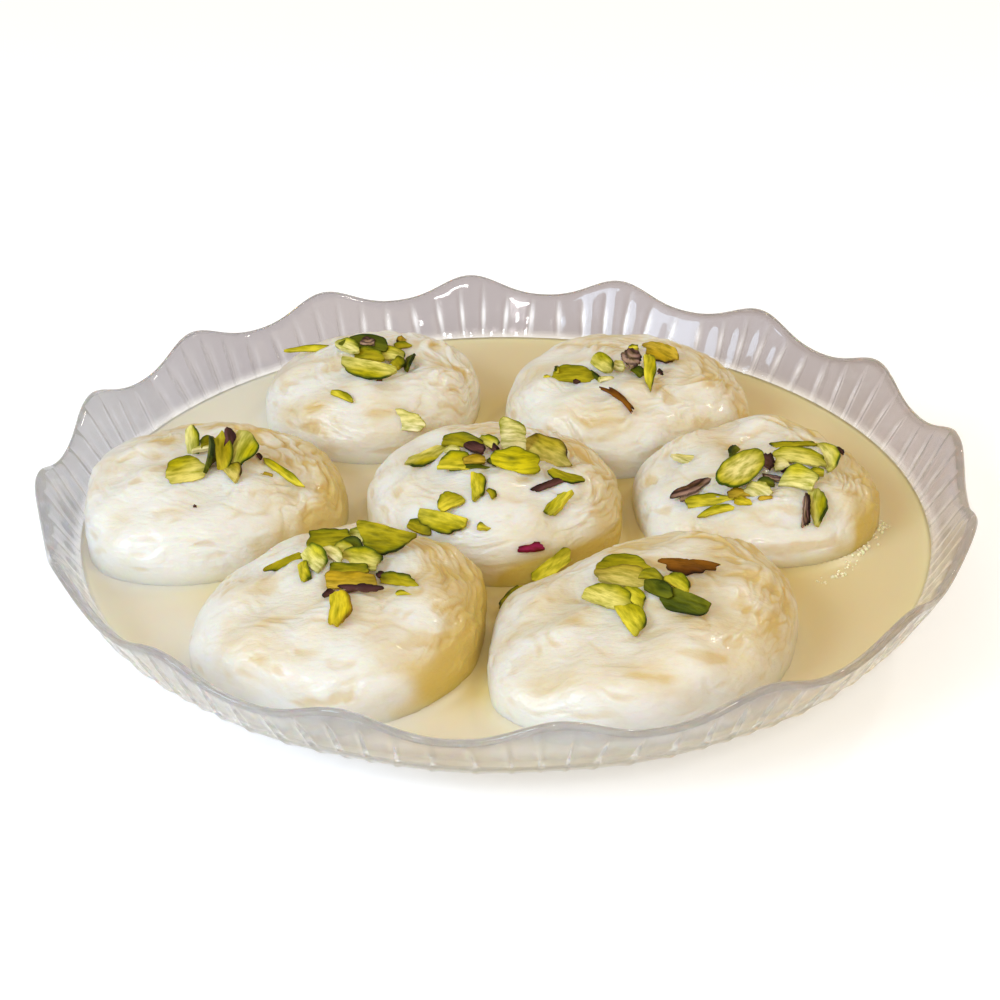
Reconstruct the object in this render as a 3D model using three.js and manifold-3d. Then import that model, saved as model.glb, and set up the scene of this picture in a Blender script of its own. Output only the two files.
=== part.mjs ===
// Rasmalai: soft flattened balls of fresh cheese under pistachio slivers, standing in
// sweet thickened milk in a clear dish with a petal rim.
// Millimetres, +Z up. The origin is on the table, under the middle of the dish, and the
// photograph looks along +Y with +X to the right.

import * as THREE from 'three';
import { mergeVertices } from 'three/addons/utils/BufferGeometryUtils.js';
import Module from 'manifold-3d';

// Dish: a shallow pressed dish on a foot ring, with a scalloped, ribbed, flaring wall.
const RIM_RADIUS = 94.2;
const RIM_HEIGHT = 25.5;
const PETALS = 16;
const PETAL_RISE = 2.54;
const PETAL_REACH = 0.77;
const PETAL_TURN = THREE.MathUtils.degToRad( 5.31 );
const PETAL_POINT = 0.12;
const STEPS_PER_PETAL = 10;
const RIB_DEPTH = 0.35;
const FOOT_INNER = 57;
const FOOT_OUTER = 62;
const FOOT_HEIGHT = 1.6;
const FLOOR_TOP = 4.2;
const RIM_LIP = 0.9;

// Milk: level, and the clearance that every piece keeps from its neighbours.
const MILK_TOP = 13.9;
const MILK_RADIUS = 86.1;
const MILK_STEPS = 48;
const GAP = 0.35;
const WALL_CLEARANCE = 0.6;

// Discs: all rest on the dish's floor and are pressed flat where they meet.
const DISC_BASE = FLOOR_TOP + GAP;
const DISC_STEPS = 24;
const DISC_ROWS_UP = 5;
const DISC_ROWS_DOWN = 3;
const TOP_FULLNESS = 2.5;
const BASE_FULLNESS = 3.2;
const PRESS_SHARPNESS = 14;
const PRESS_REACH = 4;
const PRESS_FACING = 0.05;
const LEAST_LENGTH = 0.01;

// The crumpled tops: crossed waves, each with its run along X and Y, height and own shift.
const CRUMPLE_WAVES = [ [ 0.31, 0.12, 0.55, 1 ], [ - 0.14, 0.36, 0.55, 2 ], [ 0.5, - 0.42, 0.33, 3 ] ];
const CRUMPLE_SHIFT = [ 0.7, 0.4 ];

// Slivers: thin lengthwise slices of pistachio kernel.
const SLIVER_THICKNESS = 1.3;
const SLIVER_CURVE_STEPS = 3;
const SLIVER_SUNK = 0.5;
const FLAT_SIDE = 0.35;
const ROUND_SIDE = 0.65;

// Points nearer than this are one point.
const WELD = 1e-5;

const deg = THREE.MathUtils.degToRad;

const clearPlastic = new THREE.MeshStandardMaterial( { color: 0xcfc8cb, roughness: 0.12, metalness: 0, transparent: true, opacity: 0.45 } );
const thickMilk = new THREE.MeshStandardMaterial( { color: 0xe6dcbc, roughness: 0.28, metalness: 0 } );
const freshCheese = new THREE.MeshStandardMaterial( { color: 0xf1ece0, roughness: 0.5, metalness: 0 } );

// Each disc: middle, radius and top of the cheese, how its outline is drawn out (oval) and
// cornered (three-lobed), how far its top leans along X and Y, and its slivers. A sliver's
// row is: place on the disc, heading, length, width, roll about its length, pitch of its
// near end upwards and, where it leans on others or lies in a dent, how far it is raised.
// Roll 90 stands it on its edge.
const DISCS = {
	disc_left: {
		at: [ - 62.1, - 4.0 ], radius: 28.3, top: 29.8, oval: [ 0.040, 14 ], corner: [ 0.016, - 24 ], lean: [ 0.007, - 0.014 ],
		slivers: [
			[ - 1.5, - 8.8, 8, 7.6, 6.2, 45, 0 ],
			[ 2.8, - 4.6, - 87, 8.6, 7.4, 80, 0 ],
			[ 5.6, - 4, - 85, 9.6, 3.6, 0, 45, 2.2 ],
			[ 9.2, - 4.2, - 120, 9.2, 5.2, 0, 38, 1.4 ],
			[ - 1.8, 3.4, - 90, 6.5, 2.9, 0, - 105, 2.4 ],
			[ 17.6, - 5.3, - 36, 11.5, 1.8, 25, 14 ],
		],
	},
	disc_back_left: {
		at: [ - 29.9, 44.8 ], radius: 24.7, top: 29.8, oval: [ 0.028, 64 ], corner: [ 0.019, 41 ], lean: [ 0.022, - 0.018 ],
		slivers: [
			[ - 0.7, - 11, - 27, 14, 4.8, 30, 0 ],
			[ - 1.8, 1.3, - 10, 11.5, 4, 30, 0 ],
			[ 4, - 1.3, - 14, 7, 4, 25, 0 ],
			[ 8.5, - 4.3, - 96, 7, 3.6, 50, 0 ],
			[ 7.8, - 21.5, - 22, 10.4, 4.8, 55, 0, - 1.4 ],
			[ - 5.4, - 17.8, - 32, 6, 1.8, 30, 8 ],
		],
	},
	disc_back_right: {
		at: [ 27.1, 38.5 ], radius: 27.5, top: 30.5, oval: [ 0.011, - 73 ], corner: [ 0.008, - 15 ], lean: [ - 0.015, 0.016 ],
		slivers: [
			[ - 12, - 4.2, - 6, 10, 4.6, 30, 0 ],
			[ - 5.7, - 3.4, - 62, 8, 3.8, 40, 0 ],
			[ 0.6, - 0.6, - 58, 6.6, 4.4, 35, 0 ],
			[ 4.4, - 8.1, - 90, 10.5, 2.8, 0, 24, 1.9 ],
			[ 7, 4.4, - 48, 11, 4.8, 30, 0 ],
			[ - 2.9, - 15.4, - 46, 10.5, 1.7, 30, 12 ],
		],
	},
	disc_middle: {
		at: [ - 1.7, - 5.6 ], radius: 26.6, top: 31.2, oval: [ 0.019, - 36 ], corner: [ 0.023, 27.5 ], lean: [ 0.021, - 0.011 ],
		slivers: [
			[ - 14.2, - 1, 42, 10.6, 3, 35, 0 ],
			[ - 7, 2.3, - 16, 8.6, 3.4, 45, 0 ],
			[ - 7.9, - 4.4, 6, 8.6, 4.8, 30, 0 ],
			[ 3.7, - 7, - 6, 10.2, 6.9, 30, 0 ],
			[ 9.8, 0.5, - 48, 12.5, 5.8, 35, 0 ],
			[ 13.6, - 9, - 12, 7.8, 2.4, 25, 10 ],
			[ - 3.6, - 13, - 86, 8.5, 3.2, 20, 12 ],
			[ 11.7, - 15.2, 55, 7.2, 4.2, - 15, - 16 ],
			[ - 9.4, - 16, 34, 5.6, 4, 25, 0 ],
			[ - 10.9, - 19.6, - 28, 10.6, 4.4, 45, 0 ],
			[ 9.9, - 22.2, 33, 9.8, 5.4, 45, - 27, - 0.9 ],
			[ 3.1, 1.2, 0, 5.4, 8.6, 82, 0 ],
		],
	},
	disc_right: {
		at: [ 50.8, 0.2 ], radius: 26.0, top: 28.1, oval: [ 0.006, - 60 ], corner: [ 0.030, - 22 ], lean: [ 0.023, 0.080 ],
		slivers: [
			[ - 3.6, - 9.2, 52, 16.5, 6.6, 30, 0 ],
			[ 9, - 2.8, - 20, 12, 4.6, 20, 0 ],
			[ 15.2, - 0.4, - 76, 10, 4.8, 15, 4 ],
			[ 8.2, - 10.2, - 16, 7.8, 6.2, 25, 0 ],
			[ - 0.2, - 13.6, - 30, 5.6, 4.2, 30, 4 ],
			[ - 13.2, - 10.8, 30, 10.4, 3, 40, - 12 ],
			[ - 10, - 13.8, - 4, 10, 4, 10, - 6 ],
			[ 11.3, - 17, - 94, 9.2, 4.2, 30, 24 ],
		],
	},
	disc_front_left: {
		at: [ - 29.6, - 50.6 ], radius: 28.6, top: 30.6, oval: [ 0.089, 51 ], corner: [ 0.005, - 70 ], lean: [ 0.051, 0.027 ],
		slivers: [
			[ - 11.1, 3.4, 28, 8.6, 2, 40, - 8 ],
			[ - 3.4, 11.6, 6, 9, 4.4, 40, 0 ],
			[ 7, 7.2, - 18, 11.8, 6.2, 35, 0 ],
			[ 3.2, 3, - 30, 9, 4.8, 25, 0 ],
			[ - 5, 2.2, - 60, 8, 4.4, 30, 0 ],
			[ 1.6, - 4.8, - 2, 9.6, 3.6, 40, 0 ],
			[ 10.4, - 3, - 10, 7.4, 2.6, 40, 6 ],
			[ 0.4, - 13.6, - 88, 8.6, 4.4, 20, 14 ],
		],
	},
	disc_front_right: {
		at: [ 24.4, - 54.5 ], radius: 29.8, top: 29.4, oval: [ 0.121, 41 ], corner: [ 0.049, 57 ], lean: [ 0.120, - 0.010 ],
		slivers: [
			[ - 2.6, 7.6, - 4, 10.6, 5, 25, 0 ],
			[ - 2.4, 1.8, - 20, 12.5, 5.2, 25, 0 ],
			[ - 5.6, - 3.8, - 34, 10, 5, 25, 0 ],
			[ 5.8, - 6.8, - 32, 12.5, 4.6, 40, 0 ],
			[ - 2, - 10.2, - 64, 8, 4.4, 25, 6 ],
			[ 8.8, 3.6, - 14, 11.4, 3.6, 40, 0 ],
		],
	},
};

const wasm = await Module();
wasm.setup();

// A closed three.js geometry as a solid for cutting and joining.
function toSolid( geometry ) {

	const bare = geometry.clone();
	bare.deleteAttribute( 'normal' );
	bare.deleteAttribute( 'uv' );
	const welded = mergeVertices( bare, WELD );
	return new wasm.Manifold( new wasm.Mesh( {
		numProp: 3,
		vertProperties: new Float32Array( welded.attributes.position.array ),
		triVerts: new Uint32Array( welded.index.array ),
	} ) );

}

function toGeometry( solid ) {

	const mesh = solid.getMesh();
	const geometry = new THREE.BufferGeometry();
	geometry.setAttribute( 'position', new THREE.BufferAttribute( mesh.vertProperties, 3 ) );
	geometry.setIndex( new THREE.BufferAttribute( mesh.triVerts, 1 ) );
	geometry.computeVertexNormals();
	return geometry;

}

// A closed skin through rings of points, from a lowest point to a highest one: ring( row,
// angle ) gives the point, and each end is closed by a fan round one point.
function ringSkin( rows, steps, ring, first, last ) {

	const points = [ ...first ];
	for ( let row = 0; row < rows; row ++ ) {

		for ( let step = 0; step < steps; step ++ ) points.push( ...ring( row, 2 * Math.PI * step / steps, step ) );

	}

	points.push( ...last );
	const end = 1 + rows * steps;
	const index = [];
	for ( let step = 0; step < steps; step ++ ) {

		const next = ( step + 1 ) % steps;
		index.push( 0, 1 + next, 1 + step );
		for ( let row = 0; row < rows - 1; row ++ ) {

			const a = 1 + row * steps + step;
			const b = 1 + row * steps + next;
			index.push( a, b, b + steps, a, b + steps, a + steps );

		}

		index.push( end, end - steps + step, end - steps + next );

	}

	const geometry = new THREE.BufferGeometry();
	geometry.setAttribute( 'position', new THREE.Float32BufferAttribute( points, 3 ) );
	geometry.setIndex( index );
	geometry.computeVertexNormals();
	return geometry;

}

// The dish's section, from the middle of the underside out, over the rim and back to the
// middle of the floor: radius, height, how much it follows the petals, how deep its ribs are.
const OUTSIDE = [
	[ FOOT_INNER - 1, FOOT_HEIGHT, 0, 0 ],
	[ FOOT_INNER, 0, 0, 0 ],
	[ FOOT_OUTER, 0, 0, 0 ],
	[ FOOT_OUTER + 2, FOOT_HEIGHT + 0.6, 0, 0 ],
	[ 75.5, 4.6, 0, 0 ],
	[ 82.6, 8.8, 0.03, 0.6 ],
	[ 87.9, 13.0, 0.15, 1 ],
	[ 91.6, 19.2, 0.5, 1 ],
	[ RIM_RADIUS + 0.4, RIM_HEIGHT - RIM_LIP, 1, 0 ],
];
const INSIDE = [
	[ RIM_RADIUS - 0.2, RIM_HEIGHT, 1, 0 ],
	[ RIM_RADIUS - 1.5, RIM_HEIGHT - RIM_LIP, 1, 0 ],
	[ 89.7, 19.2, 0.5, 0 ],
	[ MILK_RADIUS, MILK_TOP - 0.6, 0.12, 0 ],
	[ 80.2, 9.0, 0.02, 0 ],
	[ 73, 5.8, 0, 0 ],
	[ 62, FLOOR_TOP + 0.2, 0, 0 ],
];
const MILK_FROM_ROW = 3;

function makeDish() {

	const section = [ ...OUTSIDE, ...INSIDE ];
	const steps = PETALS * STEPS_PER_PETAL;
	const ring = ( row, angle, step ) => {

		const [ radius, height, petal, rib ] = section[ row ];
		const turn = PETALS * angle;
		const wave = ( Math.cos( turn ) + PETAL_POINT * Math.cos( 2 * turn ) ) / ( 1 + PETAL_POINT );
		const furrow = step % 2 ? 0 : RIB_DEPTH * rib;
		const r = radius + PETAL_REACH * petal * wave - furrow;
		const turned = angle + PETAL_TURN;
		return [ r * Math.cos( turned ), r * Math.sin( turned ), height + PETAL_RISE * petal * wave ];

	};

	return toSolid( ringSkin( section.length, steps, ring, [ 0, 0, FOOT_HEIGHT ], [ 0, 0, FLOOR_TOP ] ) );

}

// The smallest of some lengths, with the corners between them rounded off.
function softSmallest( lengths ) {

	return lengths.reduce( ( sum, length ) => sum + length ** - PRESS_SHARPNESS, 0 ) ** ( - 1 / PRESS_SHARPNESS );

}

// Where a disc's edge lies at its widest, at an angle round its middle: the smallest of its
// own radius and the line that it shares with each near neighbour.
function discEdge( name, angle ) {

	const disc = DISCS[ name ];
	const [ x, y ] = disc.at;
	const own = disc.radius * ( 1 + disc.oval[ 0 ] * Math.cos( 2 * ( angle - deg( disc.oval[ 1 ] ) ) )
		+ disc.corner[ 0 ] * Math.cos( 3 * ( angle - deg( disc.corner[ 1 ] ) ) ) );
	const limits = [ own ];
	for ( const [ other, near ] of Object.entries( DISCS ) ) {

		const dx = near.at[ 0 ] - x;
		const dy = near.at[ 1 ] - y;
		const apart = Math.hypot( dx, dy );
		const facing = Math.cos( angle - Math.atan2( dy, dx ) );
		if ( other === name || apart > disc.radius + near.radius + PRESS_REACH || facing < PRESS_FACING ) continue;
		const share = ( apart ** 2 + disc.radius ** 2 - near.radius ** 2 ) / ( 2 * apart );
		limits.push( ( share - GAP ) / facing );

	}

	return softSmallest( limits );

}

// Radius of the dish's inner wall at a height, along the straight lines of its section.
function wallRadius( height ) {

	const above = Math.max( INSIDE.findLastIndex( ( row ) => row[ 1 ] >= height ), 0 );
	const [ r0, z0 ] = INSIDE[ above ];
	const [ r1, z1 ] = INSIDE[ Math.min( above + 1, INSIDE.length - 1 ) ];
	return z0 === z1 ? r0 : r0 + ( r1 - r0 ) * ( height - z0 ) / ( z1 - z0 );

}

// How far a disc may reach at an angle round its middle before it meets the wall. Above the
// milk the disc goes straight up, while the wall flares away from it.
function roomToWall( disc, angle, height ) {

	const [ x, y ] = disc.at;
	const outward = x * Math.cos( angle ) + y * Math.sin( angle );
	const wall = wallRadius( Math.min( height, MILK_TOP ) ) - WALL_CLEARANCE;
	return - outward + Math.sqrt( Math.max( outward ** 2 + wall ** 2 - x * x - y * y, LEAST_LENGTH ) );

}

// Height of a disc's surface over its middle plane, and the share of its edge it reaches,
// for a latitude from -1 at the base to 1 on top: a quarter of a full oval each way.
function discSection( latitude ) {

	const fullness = latitude < 0 ? BASE_FULLNESS : TOP_FULLNESS;
	const rise = Math.sin( latitude * Math.PI / 2 );
	return { rise, reach: ( 1 - Math.abs( rise ) ** fullness ) ** ( 1 / fullness ) };

}

// Low lumps of the crumpled top, which differ from disc to disc.
function crumple( disc, x, y ) {

	const shift = disc.at[ 0 ] * CRUMPLE_SHIFT[ 0 ] + disc.at[ 1 ] * CRUMPLE_SHIFT[ 1 ];
	return CRUMPLE_WAVES.reduce( ( sum, [ alongX, alongY, height, turn ] ) =>
		sum + height * Math.sin( alongX * x + alongY * y + turn * shift ), 0 );

}

function discPoint( name, latitude, angle, grow ) {

	const disc = DISCS[ name ];
	const middle = ( disc.top + DISC_BASE ) / 2;
	const { rise, reach } = discSection( latitude );
	const height = middle + rise * ( disc.top - middle );
	const own = Math.max( discEdge( name, angle ) * reach, LEAST_LENGTH );
	const r = softSmallest( [ own, roomToWall( disc, angle, height ) ] ) + grow * reach;
	const x = r * Math.cos( angle );
	const y = r * Math.sin( angle );
	const upper = Math.max( rise, 0 );
	const lean = upper * ( x * disc.lean[ 0 ] + y * disc.lean[ 1 ] ) + upper * upper * crumple( disc, x, y );
	return [ disc.at[ 0 ] + x, disc.at[ 1 ] + y, height + lean + rise * grow ];

}

function makeDisc( name, grow = 0 ) {

	const rows = DISC_ROWS_DOWN + DISC_ROWS_UP + 1;
	const latitude = ( row ) => row < DISC_ROWS_DOWN
		? - 1 + ( row + 1 ) / ( DISC_ROWS_DOWN + 1 )
		: ( row - DISC_ROWS_DOWN ) / ( DISC_ROWS_UP + 1 );
	const ring = ( row, angle ) => discPoint( name, latitude( row ), angle, grow );
	return toSolid( ringSkin( rows, DISC_STEPS, ring, discPoint( name, - 1, 0, grow ), discPoint( name, 1, 0, grow ) ) );

}

// Height of the first face under a place, looking straight down on a piece.
function heightUnder( piece, x, y ) {

	const down = new THREE.Raycaster( new THREE.Vector3( x, y, 2 * RIM_RADIUS ), new THREE.Vector3( 0, 0, - 1 ) );
	return down.intersectObject( piece )[ 0 ].point.z;

}

// A slice with a bulging back and a flatter cut side, pointed at both ends, set down on the
// bare disc with its low edge a little into the cheese.
function makeSliver( disc, bare, [ dx, dy, heading, length, width, roll, pitch, raise = 0 ] ) {

	const outline = new THREE.Shape();
	outline.moveTo( - length / 2, 0 );
	outline.quadraticCurveTo( 0, - 2 * width * FLAT_SIDE, length / 2, 0 );
	outline.quadraticCurveTo( 0, 2 * width * ROUND_SIDE, - length / 2, 0 );
	const slice = new THREE.ExtrudeGeometry( outline, { depth: SLIVER_THICKNESS, steps: 1, bevelEnabled: false, curveSegments: SLIVER_CURVE_STEPS } );
	slice.translate( 0, 0, - SLIVER_THICKNESS / 2 );
	slice.rotateX( deg( roll ) );
	slice.rotateY( deg( pitch ) );
	slice.rotateZ( deg( heading ) );
	const half = Math.sin( deg( Math.abs( roll ) ) ) * width * FLAT_SIDE + Math.cos( deg( roll ) ) * SLIVER_THICKNESS / 2;
	const x = disc.at[ 0 ] + dx;
	const y = disc.at[ 1 ] + dy;
	slice.translate( x, y, heightUnder( bare, x, y ) + half - SLIVER_SUNK + raise );
	return toSolid( slice );

}

// The milk's own body, along the dish's floor and wall up to its level, before the discs are
// taken out of it.
function makeMilkSlab() {

	const along = INSIDE.slice( MILK_FROM_ROW ).reverse().map( ( [ radius, height ] ) => [ radius - GAP, height + GAP / 2 ] );
	const section = [ ...along, [ MILK_RADIUS - GAP / 2, MILK_TOP ] ];
	const ring = ( row, angle ) => [ section[ row ][ 0 ] * Math.cos( angle ), section[ row ][ 0 ] * Math.sin( angle ), section[ row ][ 1 ] ];
	return toSolid( ringSkin( section.length, MILK_STEPS, ring, [ 0, 0, FLOOR_TOP + GAP ], [ 0, 0, MILK_TOP ] ) );

}

// The largest closed body of a solid, so that no scrap is kept.
function largestBody( solid ) {

	return solid.decompose().reduce( ( best, body ) => body.volume() > best.volume() ? body : best );

}

const rasmalai = new THREE.Group();

// Adds a solid as a named piece, placed by the point of the table that it stands over.
function addPiece( name, solid, material, [ x, y ] = [ 0, 0 ] ) {

	const piece = new THREE.Mesh( toGeometry( solid ).translate( - x, - y, 0 ), material );
	piece.name = name;
	piece.position.set( x, y, 0 );
	rasmalai.add( piece );

}

addPiece( 'dish', makeDish(), clearPlastic );

let milk = makeMilkSlab();
for ( const name of Object.keys( DISCS ) ) milk = milk.subtract( makeDisc( name, GAP ) );
addPiece( 'milk', largestBody( milk ), thickMilk );

for ( const [ name, disc ] of Object.entries( DISCS ) ) {

	let body = makeDisc( name );
	const bare = new THREE.Mesh( toGeometry( body ), freshCheese );
	for ( const sliver of disc.slivers ) body = body.add( makeSliver( disc, bare, sliver ) );
	addPiece( name, largestBody( body ), freshCheese, disc.at );

}

export default rasmalai;
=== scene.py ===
# Rasmalai: seven soaked discs of fresh cheese under pistachio slivers, standing in thickened
# milk in a clear petal dish. Lengths are written in millimetres and brought to metres by MM.

import math
from collections import namedtuple

import bpy
import numpy as np
from mathutils import Matrix


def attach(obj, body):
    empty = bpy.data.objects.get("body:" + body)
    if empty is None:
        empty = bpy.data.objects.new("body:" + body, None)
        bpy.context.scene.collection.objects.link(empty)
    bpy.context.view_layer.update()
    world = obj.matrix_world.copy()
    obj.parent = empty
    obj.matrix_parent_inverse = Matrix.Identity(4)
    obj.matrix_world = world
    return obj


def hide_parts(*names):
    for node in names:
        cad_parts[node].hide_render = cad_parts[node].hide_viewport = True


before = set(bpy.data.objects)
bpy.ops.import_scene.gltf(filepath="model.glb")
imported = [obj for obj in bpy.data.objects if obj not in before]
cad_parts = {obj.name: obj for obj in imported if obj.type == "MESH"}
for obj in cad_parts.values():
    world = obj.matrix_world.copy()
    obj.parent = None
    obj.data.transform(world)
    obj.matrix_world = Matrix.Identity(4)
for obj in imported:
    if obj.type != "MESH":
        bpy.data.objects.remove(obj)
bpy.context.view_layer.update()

scene = bpy.context.scene
MM = 0.001


# Camera
# Stands in front of the dish and looks down on it by about a third of a right angle, with
# the long lens that the photograph's mild perspective asks for.

CAMERA_PLACE = np.array([0.0, -363.3, 219.6]) * MM
CAMERA_STEEPNESS = math.radians(29.13)
CAMERA_YAW = math.radians(0.19)
CAMERA_ROLL = math.radians(-0.204)
CAMERA_LENS = 72.01
CAMERA_SENSOR = 36.0


def aim(steepness, yaw, roll):
    """Camera axes: its back points up and away from the view by steepness and yaw, and its
    right and up turn about that line by roll."""
    flat = math.cos(steepness)
    back = np.array([math.sin(yaw) * flat, -math.cos(yaw) * flat, math.sin(steepness)])
    level = np.array([math.cos(yaw), math.sin(yaw), 0.0])
    raised = np.cross(back, level)
    right = math.cos(roll) * level + math.sin(roll) * raised
    return right, np.cross(back, right), back


def stand(thing, axes, place):
    """Put a thing at a place in metres, with its right, up and back along three axes."""
    pose = np.eye(4)
    pose[:3, :3] = np.column_stack(axes)
    pose[:3, 3] = place
    thing.matrix_world = Matrix(pose.tolist())
    scene.collection.objects.link(thing)


camera_data = bpy.data.cameras.new("camera")
camera_data.lens = CAMERA_LENS
camera_data.sensor_width = CAMERA_SENSOR
camera = bpy.data.objects.new("camera", camera_data)
stand(camera, aim(CAMERA_STEEPNESS, CAMERA_YAW, CAMERA_ROLL), CAMERA_PLACE)
scene.camera = camera
scene.view_settings.view_transform = "Standard"


# Studio
# A wide, cool window light from the front left, a warm one across from it, two small ones
# that sparkle on what is moist, and warm light from all round, on a pale floor.

# Each lamp: its place and size in metres, its power in watts, and its colour.
LAMPS = {
    "window": ((-0.85, -0.70, 0.70), 0.6, 10.9, (0.70, 0.87, 1.06)),
    "bounce": ((0.80, -0.62, 0.50), 0.8, 2.2, (1.0, 0.84, 0.56)),
    "glint": ((0.05, -0.70, 0.62), 0.10, 1.2, (1.0, 1.0, 1.0)),
    "spark": ((0.50, 0.30, 0.70), 0.06, 0.7, (1.0, 0.95, 0.86)),
}
ROOM_COLOUR = (1.0, 0.83, 0.56, 1.0)
ROOM_STRENGTH = 0.56


def soft_light(name, place, size, power, colour):
    """A square soft light of a size at a place, facing the middle of the dish."""
    data = bpy.data.lights.new(name, "AREA")
    data.size = size
    data.energy = power
    data.color = colour
    back = np.array(place) / np.linalg.norm(place)
    right = np.cross([0.0, 0.0, 1.0], back)
    right = right / np.linalg.norm(right)
    stand(bpy.data.objects.new(name, data), (right, np.cross(back, right), back), place)


for name, lamp in LAMPS.items():
    soft_light(name, *lamp)
room = bpy.data.worlds.new("room")
room.use_nodes = True
background = room.node_tree.nodes["Background"].inputs
background["Color"].default_value = ROOM_COLOUR
background["Strength"].default_value = ROOM_STRENGTH
scene.world = room


class Wire:
    """One output of a shader node. Arithmetic on wires adds the Math nodes it stands for."""

    def __init__(self, tree, socket=None):
        self.tree = tree
        self.socket = socket

    def node(self, kind, settings, inputs, output=0):
        """Add a node with its settings, and the values or wires of its sockets."""
        made = self.tree.nodes.new(kind)
        for key, value in settings.items():
            setattr(made, key, value)
        for key, value in inputs.items():
            if isinstance(value, Wire):
                self.tree.links.new(value.socket, made.inputs[key])
            else:
                made.inputs[key].default_value = value
        return Wire(self.tree, made.outputs[output] if made.outputs else None)

    def math(self, operation, first, second):
        """A Math node of two values or wires."""
        return self.node("ShaderNodeMath", {"operation": operation}, {0: first, 1: second})

    def __add__(self, other):
        return self.math("ADD", self, other)

    def __sub__(self, other):
        return self.math("SUBTRACT", self, other)

    def __rsub__(self, other):
        return self.math("SUBTRACT", other, self)

    def __mul__(self, other):
        return self.math("MULTIPLY", self, other)

    def __rmul__(self, other):
        return self.math("MULTIPLY", other, self)

    def mixed(self, first, second):
        """The colour that goes from first to second as this wire goes from 0 to 1."""
        return self.node("ShaderNodeMix", {"data_type": "RGBA"}, {0: self, 6: first, 7: second}, 2)

    def grain(self, size, detail=2.0, stretch=(1, 1, 1)):
        """Noise from 0 to 1 with lumps of a size in metres, drawn out by stretch."""
        place = self.node("ShaderNodeTexCoord", {}, {}, "Object")
        scale = tuple(1.0 / (size * along) for along in stretch)
        place = self.node("ShaderNodeMapping", {}, {"Vector": place, "Scale": scale})
        return self.node("ShaderNodeTexNoise", {}, {"Vector": place, "Scale": 1.0, "Detail": detail})

    def attribute(self, name, output="Fac"):
        """What was painted on the piece's vertices by a name, as one value or a colour."""
        return self.node("ShaderNodeAttribute", {"attribute_name": name}, {}, output)

    def bump(self, height, depth):
        """A Bump node's normal for a height from 0 to 1 that stands for a depth in metres."""
        return self.node("ShaderNodeBump", {}, {"Height": height, "Strength": 1.0, "Distance": depth})

    def finish(self, **inputs):
        """Set the surface shader: names are the Principled shader's sockets, _ for spaces."""
        named = {key.replace("_", " "): value for key, value in inputs.items()}
        shader = self.node("ShaderNodeBsdfPrincipled", {}, named)
        self.node("ShaderNodeOutputMaterial", {}, {"Surface": shader})


def new_finish(name):
    """An empty material, and a wire that adds nodes to it."""
    material = bpy.data.materials.new(name)
    material.use_nodes = True
    material.node_tree.nodes.clear()
    return material, Wire(material.node_tree)


FLOOR_HALF = 6.0
FLOOR_DROP = 0.2 * MM
FLOOR_CORNERS = ((-1, -1), (1, -1), (1, 1), (-1, 1))
PAPER_WHITE = (0.78, 0.80, 0.86, 1.0)
PAPER_GLOW = 0.44

floor_mesh = bpy.data.meshes.new("floor")
corners = [(x * FLOOR_HALF, y * FLOOR_HALF, -FLOOR_DROP) for x, y in FLOOR_CORNERS]
floor_mesh.from_pydata(corners, [], [(0, 1, 2, 3)])
floor = bpy.data.objects.new("floor", floor_mesh)
scene.collection.objects.link(floor)
paper, wire = new_finish("white_paper")
wire.finish(Base_Color=PAPER_WHITE, Roughness=0.8, Emission_Color=(1.0, 1.0, 1.0, 1.0),
            Emission_Strength=PAPER_GLOW)
floor_mesh.materials.append(paper)


# Dish
# A shallow dish of clear plastic, pressed in one piece: a floor on a foot ring and a flaring
# wall of sixteen petals, with a fan of fine raised ribs in each petal and a rounded lip.

PETALS = 16
PETAL_RISE = 2.54
PETAL_REACH = 0.77
PETAL_TURN = math.radians(5.31)
PETAL_POINT = 0.12
RIBS = 6
RIB_HEIGHT = 0.42
RIB_WIDTH = 0.085
RIB_FAN = 0.35
INNER_RIB_HEIGHT = 0.14
STEPS_PER_RIB = 10
STEP_CROWDING = 0.6
ROWS_ON_WALL = 8
ROWS_ON_FLOOR = 3
LIP_EDGES = (94.6, 92.9)
LIP_WIDTH = 0.35
LIP_BAND, RIM_BAND = (22, 24), (22.6, 24.2)
RIM_HEIGHT = 25.5
FLOOR_TOP = 4.2

# Section of the dish: radius, height and share of the petals' wave, and of the ribs.
OUTSIDE = [
    (0.0, 1.6, 0, 0), (56, 1.6, 0, 0), (57, 0.0, 0, 0), (62, 0.0, 0, 0), (64, 2.2, 0, 0),
    (75.5, 4.6, 0, 0), (82.6, 8.8, 0.03, 0.6), (87.9, 13.0, 0.15, 1), (91.6, 19.2, 0.5, 1),
    (94.6, 24.6, 1, 0),
]
INSIDE = [
    (94.0, 25.5, 1, 0), (92.7, 24.6, 1, 0), (89.7, 19.2, 0.5, 1), (86.1, 13.3, 0.12, 0.6),
    (80.2, 9.0, 0.02, 0), (73, 5.8, 0, 0), (62, 4.4, 0, 0), (0.0, 4.2, 0, 0),
]


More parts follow.
